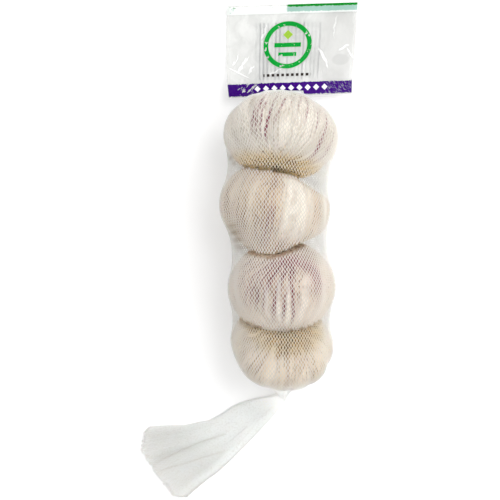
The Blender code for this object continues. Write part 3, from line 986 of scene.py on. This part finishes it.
def make_net(bulbs, sleeve):
    """The net's front, back and free end, with the look of each thread along its length."""
    material = net_material()
    body = strand_paths(sleeve, 0.0, ROWS - 1.0, STRAND_ROWS, 0)
    for bulb in bulbs:
        body = bulb.push_out(body, NET_OFFSET - 0.1)
    body[..., 2] = np.maximum(body[..., 2], BACK_THREAD_RADIUS)
    y = body[..., 1]
    below = smooth_step((NECK[1] + 9.0 - y) / 7.0)
    above = smooth_step((y - GATHER[1] + 4.0) / 4.0)
    half = STRANDS // 2
    depth, root, seam = (np.zeros(y.shape) for _ in range(3))
    depth[half:] = DEEPEST
    depth[:half], root[:half], seam[:half] = skin_below(bulbs, body[:half])
    free = smooth_step((depth - FREE_DEPTH) / 6.0)
    strand = np.arange(STRANDS)
    inward = np.minimum(strand - half, STRANDS - strand)
    back = smooth_step(inward / BACK_BLEND)[:, None]
    closed = most(below, above, BACK_CLOSED * back, FREE_CLOSED * free)
    neutral = most(closed, free, back)
    over_skin = (1 - back) * (1 - free)
    # Over a seam the tan is painted shade.
    tan = np.maximum(ROOT_TAN * root, SEAM_SHADE_TAN * seam) * over_skin
    closed = closed + (ROOT_CLOSED * root + SEAM_CLOSED * seam) * over_skin
    facing = np.abs(np.sin(2 * pi * strand / STRANDS))[:, None]
    beside = smooth_step((0.55 - facing) / 0.4) * over_skin
    closed = closed - SIDE_OPEN * beside * (1 - closed)
    dull = FREE_DULL * free
    # Painted shade where the slack net hangs between bulbs.
    slack_shade = np.zeros(free.shape)
    for line, reaches, amount in SLACK_SHADE:
        away = distance_to_line(body, line) / reaches
        slack_shade = np.maximum(slack_shade, amount * np.exp(-(away**2)))
    striped = 0.62 + 0.38 * np.sin(1.9 * np.arange(STRAND_ROWS + 1))
    slack_shade = slack_shade * striped * (1 - back)
    radius = THREAD_RADIUS + (BACK_THREAD_RADIUS - THREAD_RADIUS) * back[:, 0]
    for name, part in (("net_front", slice(0, half)), ("net_back", slice(half, STRANDS))):
        looks = (closed[part], below[part], neutral[part])
        tints = (tan[part], dull[part], slack_shade[part])
        piece = thread_piece(name, body[part], looks, tints, radius[part], material)
        if name == "net_front":
            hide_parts("net_sleeve")
    rng = np.random.RandomState(3)
    last_row = ROWS - 1.0
    ragged = TAIL_ROWS - TAIL_RAGGED * rng.uniform(0.0, 1.0, (STRANDS, 1))
    tail = strand_paths(sleeve, last_row, last_row + ragged, TAIL_STRAND_ROWS, STRAND_ROWS)
    tail[..., 2] = np.maximum(tail[..., 2], TAIL_THREAD_RADIUS)
    along = np.linspace(0, 1, TAIL_STRAND_ROWS + 1)
    looks = (1.0, 1 - smooth_step(along / 0.25), np.ones(tail.shape[:2]))
    thread_piece("net_tail", tail, looks, tail_tints(tail), TAIL_THREAD_RADIUS, material)


# Glints on the film: position, half length, half width, turn and strength.
GLINTS = (
    (8, 16.5, 5.5, 0.8, 52, 0.9), (4.5, 18.5, 3.5, 0.5, 60, 0.8), (12, 13.5, 3, 0.6, 40, 0.8),
    (6, 12.2, 6.5, 0.45, -28, 0.8), (46.5, 19.5, 4.5, 0.9, -62, 0.95), (49, 15.5, 3.5, 0.6, -70, 0.8),
    (56.5, 23, 3, 0.8, 35, 0.9), (60, 20, 4, 0.5, -55, 0.8), (18, 31, 5, 0.5, 75, 0.6),
    (52, 33, 6, 0.5, 80, 0.5), (24, 12, 4, 0.5, 30, 0.6),
)


def film_material():
    """Clear printed film. Its x and y run over the film in millimetres, ply is 1 in front."""
    shader = Shader("header_print")
    join, mix, most, noise, ramp = shader.join, shader.mix, shader.most, shader.noise, shader.ramp
    x, y, ply = shader.split(shader.attribute("flat"))
    creases = noise(join(x, y * 0.6, 0), 0.16, 4, 0.6, 0.8)
    worn = noise(join(x, y, 4), 0.9, 4, 0.7)

    def between(value, low, high, soft=0.12):
        return ramp(value, low - soft, low + soft) * ramp(value, high + soft, high - soft)

    edge_noise = (worn - 0.5) * 1.6
    rough_y = y + edge_noise
    slant = x + y
    cross = x - y
    hatch = noise(join(slant * 1.9, cross * 0.35, 3), 1)
    hatch = ramp(hatch, 0.55, 0.62) * ramp(x, 46, 52)
    tear = noise(join(slant * 0.35, cross * 1.3, 8), 0.7, 3)
    tear = ramp(tear, 0.57, 0.6) * ramp(abs(x - 10), 6, 3)
    specked = ramp(worn, 0.66, 0.7) * ramp(y, 5.2, 6.4)
    lost = most(hatch * 0.32, tear, specked)
    band = between(rough_y, 0.6, 6.6) * ramp(x, -0.2, 0.4) * (1 - lost)
    lozenge = ramp(shader.every(x, 4.2) + abs(y - 3.9), 1.65, 1.35) * between(x, 12.4, 50.3)

    # The green stripes show right of x 28 and only as specks further left, where the painted glare
    # washes them out.
    speck_zone = most(ramp(x, 7, 4), between(x, 20.5, 22.5, 0.5))
    specks = ramp(worn, 0.58, 0.64) * speck_zone
    stripe_share = most(ramp(x + edge_noise, 28, 29), specks)
    dark_stripe = between(rough_y, 43.6, 45.4) * stripe_share
    pale_stripe = between(rough_y, 41.2, 43.6) * stripe_share

    dx = x - 29.5
    dy = y - 25
    ring_mark = between(shader.math("SQRT", dx * dx + dy * dy), 9.3, 11.6)
    bar = between(abs(dy), -1, 1.1) * between(abs(dx), -1, 6.4)
    bar_low = between(dy, -5.6, -3.6) * between(abs(dx), -1, 4.4)
    wear = ramp(noise(join(x, y, 2), 0.35, 3, 0.6), 0.63, 0.6)
    green = most(ring_mark, bar, bar_low) * wear
    leaf = ramp(abs(dx) + abs(dy - 5), 2.6, 2.2)
    dash = ramp(shader.every(x, 2.4), 0.8, 0.6) * between(y, 9.6, 11) * between(x, 18, 41.5)
    bars = ramp(shader.every(x, 1.9), 0.55, 0.35) * between(y, 8, 36) * between(x, 14, 46)

    front = ramp(ply, 0.4, 0.6)
    bar_fade = ramp(noise(join(x, 0, 1), 0.5), 0.35, 0.65)
    back_bars = bars * (1 - front) * (bar_fade * 0.6 + 0.4)
    # Painted glare: a whitish wash over the top strip.
    top_glare = between(y, 40.4, 44.2) * 0.75 * front
    glints = []
    for glint_x, glint_y, length, width, turn, strength in GLINTS:
        cosine = cos(radians(turn))
        sine = sin(radians(turn))
        from_x = creases * 5 + x - (glint_x + 2.5)
        from_y = creases * -4 + y - (glint_y - 2)
        along = from_x * (cosine / length) + from_y * (sine / length)
        beside = from_x * (-sine / width) + from_y * (cosine / width)
        glints.append(ramp(along * along + beside * beside, 1, 0.3) * strength)
    shine = most(*glints)
    shade_x = x - 55.5
    shade_y = y - 17
    shade = ramp(shade_x * shade_x * 0.045 + shade_y * shade_y * 0.1, 1, 0.5) * 0.35
    # Painted light and shade: the clear film is lighter and darker with its wrinkles, and darker
    # towards the right.
    colour = mix(ramp(creases, 0.35, 0.7), (221, 222, 219), (241, 241, 239))
    colour = mix(ramp(x, 38, 50) * 0.8, colour, (204, 204, 201))
    colour = mix(shade, colour, (168, 168, 166))
    colour = mix(shine * 0.8, colour, (255, 255, 255))
    colour = mix(back_bars, colour, (112, 114, 122))
    colour = mix(top_glare, colour, (240, 247, 243))
    marks = (
        (band, (54, 0, 112)),
        (lozenge, (246, 244, 250)),
        (pale_stripe, (154, 189, 178)),
        (dark_stripe, (4, 128, 34)),
        (green, (6, 148, 50)),
        (leaf, (152, 192, 62)),
        (dash, (46, 38, 36)),
    )
    ink = top_glare
    for mask, tone in marks:
        colour = mix(mask * front, colour, tone)
        ink = most(ink, mask * front)
    ink = most(ink, back_bars * 0.9, shine * front * 0.6)
    alpha = ink * 0.57 + 0.42
    specular = ink * -0.34 + 0.38
    shader.set(Base_Color=colour, Roughness=0.24, Alpha=alpha, IOR=1.5)
    shader.set(Specular_IOR_Level=specular)
    shader.bump(creases, 0.0012, 0.5)
    return shader.material


def make_header(sleeve):
    """The folded film: a front and a back ply that meet all round."""
    columns, rows = 124, 92
    across = np.linspace(0, 1, columns + 1)
    up = np.linspace(0, 1, rows + 1)
    left = along_polyline(HEADER_LEFT, up)
    right = along_polyline(HEADER_RIGHT, up)
    share = across[None, :, None]
    plan = left[:, None] * (1 - share) + right[:, None] * share
    reach = highest_y(sleeve, plan[0, :, 0]) + HEADER_GAP
    lift = np.maximum(reach - plan[0, :, 1], 0.0)
    flat_y = np.linspace(0.0, 44.8, rows + 1)[:, None] + 0 * across
    start = plan[..., 1].copy()
    plan[..., 1] += lift * (1 - up[:, None]) ** 2
    flat_y = flat_y + (plan[..., 1] - start)
    middle = header_height(up[:, None], plan[..., 0], plan[..., 1])
    side_edge = np.minimum(across, 1 - across) * columns
    end_edge = np.minimum(up, 1 - up)[:, None] * rows
    inner = smooth_step(np.minimum(side_edge, end_edge) / 3)
    apart = inner * HEADER_THICK * 0.48
    rng = np.random.RandomState(7)
    crease = np.zeros_like(middle)
    for _ in range(16):
        angle = rng.uniform(0, pi)
        rng.uniform(-30, 30)
        width = rng.uniform(1.0, 3.5)
        x0, y0 = rng.uniform(-10, 50), rng.uniform(75, 118)
        from_x, from_y = plan[..., 0] - x0, plan[..., 1] - y0
        u = from_x * cos(angle) + from_y * sin(angle)
        v = from_y * cos(angle) - from_x * sin(angle)
        crease += rng.uniform(-0.5, 0.5) * np.exp(-((u / width) ** 2) - (v / 14) ** 2)
    top = np.dstack([plan, middle + apart + crease * 0.5 * inner])
    bottom = np.dstack([plan, np.maximum(middle - apart, 0.15)])
    flat_x = np.broadcast_to(across * 62.0, middle.shape)
    flat = np.dstack([flat_x, flat_y, np.ones_like(flat_x)]).reshape(-1, 3)
    under = middle.size
    here = np.arange(under).reshape(middle.shape)
    loop = np.stack([here[:-1, :-1], here[:-1, 1:], here[1:, 1:], here[1:, :-1]], axis=-1)
    loop = loop.reshape(-1, 4)
    rim = np.concatenate([here[0], here[1:, -1], here[-1, -2::-1], here[-2:0:-1, 0]])
    after = np.roll(rim, -1)
    edge_faces = np.stack([after, rim, rim + under, after + under], axis=-1)
    faces = np.vstack([loop, loop[:, ::-1] + under, edge_faces])
    points = np.vstack([top.reshape(-1, 3), bottom.reshape(-1, 3)])
    attributes = {"flat": np.vstack([flat, flat * (1.0, 1.0, 0.0)])}
    film = add_mesh("header_film_plies", points, faces, film_material(), attributes)
    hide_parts("header_film")


def make_floor():
    """A wide white floor just under the pack."""
    bpy.ops.mesh.primitive_plane_add(size=6.0, location=(0.0, 0.0, -0.0004))
    floor = bpy.context.object
    floor.name = "floor"
    shader = Shader("floor")
    cloud = shader.noise(shader.place(), 3.0)
    shader.set(Base_Color=shader.mix(cloud, (246, 246, 246), (249, 249, 249)), Roughness=0.9)
    shader.set(Emission_Color=(1.0, 1.0, 1.0, 1.0), Emission_Strength=0.14)
    floor.data.materials.append(shader.material)


def make_lights():
    """An even white room, and one soft light from the upper right."""
    world = bpy.data.worlds.new("studio")
    world.use_nodes = True
    background = world.node_tree.nodes["Background"]
    background.inputs[0].default_value = (1.0, 1.0, 1.0, 1.0)
    background.inputs[1].default_value = 0.85
    bpy.context.scene.world = world
    light = bpy.data.lights.new("key", "AREA")
    light.shape = "SQUARE"
    light.size = 1.2
    light.energy = 12.0
    key = bpy.data.objects.new("key", light)
    key.location = (0.75, 0.35, 1.0)
    key.rotation_euler = (-key.location).to_track_quat("-Z", "Y").to_euler()
    bpy.context.scene.collection.objects.link(key)
    bpy.context.scene.view_settings.view_transform = "Standard"


def make_camera():
    """Straight above the pack, far enough away to flatten it as the photograph does."""
    view_width = 0.240
    distance = 5.0
    level = 0.02
    pixel = 0.00048
    lens = bpy.data.cameras.new("camera")
    lens.sensor_width = 36.0
    lens.lens = lens.sensor_width * distance / view_width
    camera = bpy.data.objects.new("camera", lens)
    camera.location = (pixel, 0.0, level + distance)
    lens.clip_end = 30.0
    bpy.context.scene.collection.objects.link(camera)
    bpy.context.scene.camera = camera


def main():
    bulbs = [Bulb(*row) for row in BULBS]
    sleeve = np.concatenate([stretched_net(bulbs), creased(fanned_tail())])
    for index in range(len(bulbs)):
        make_bulb(index, bulbs, skin_material(index, 1.0 + 4.0 * index))
    make_net(bulbs, sleeve)
    make_header(sleeve)
    make_floor()
    make_lights()
    make_camera()


main()
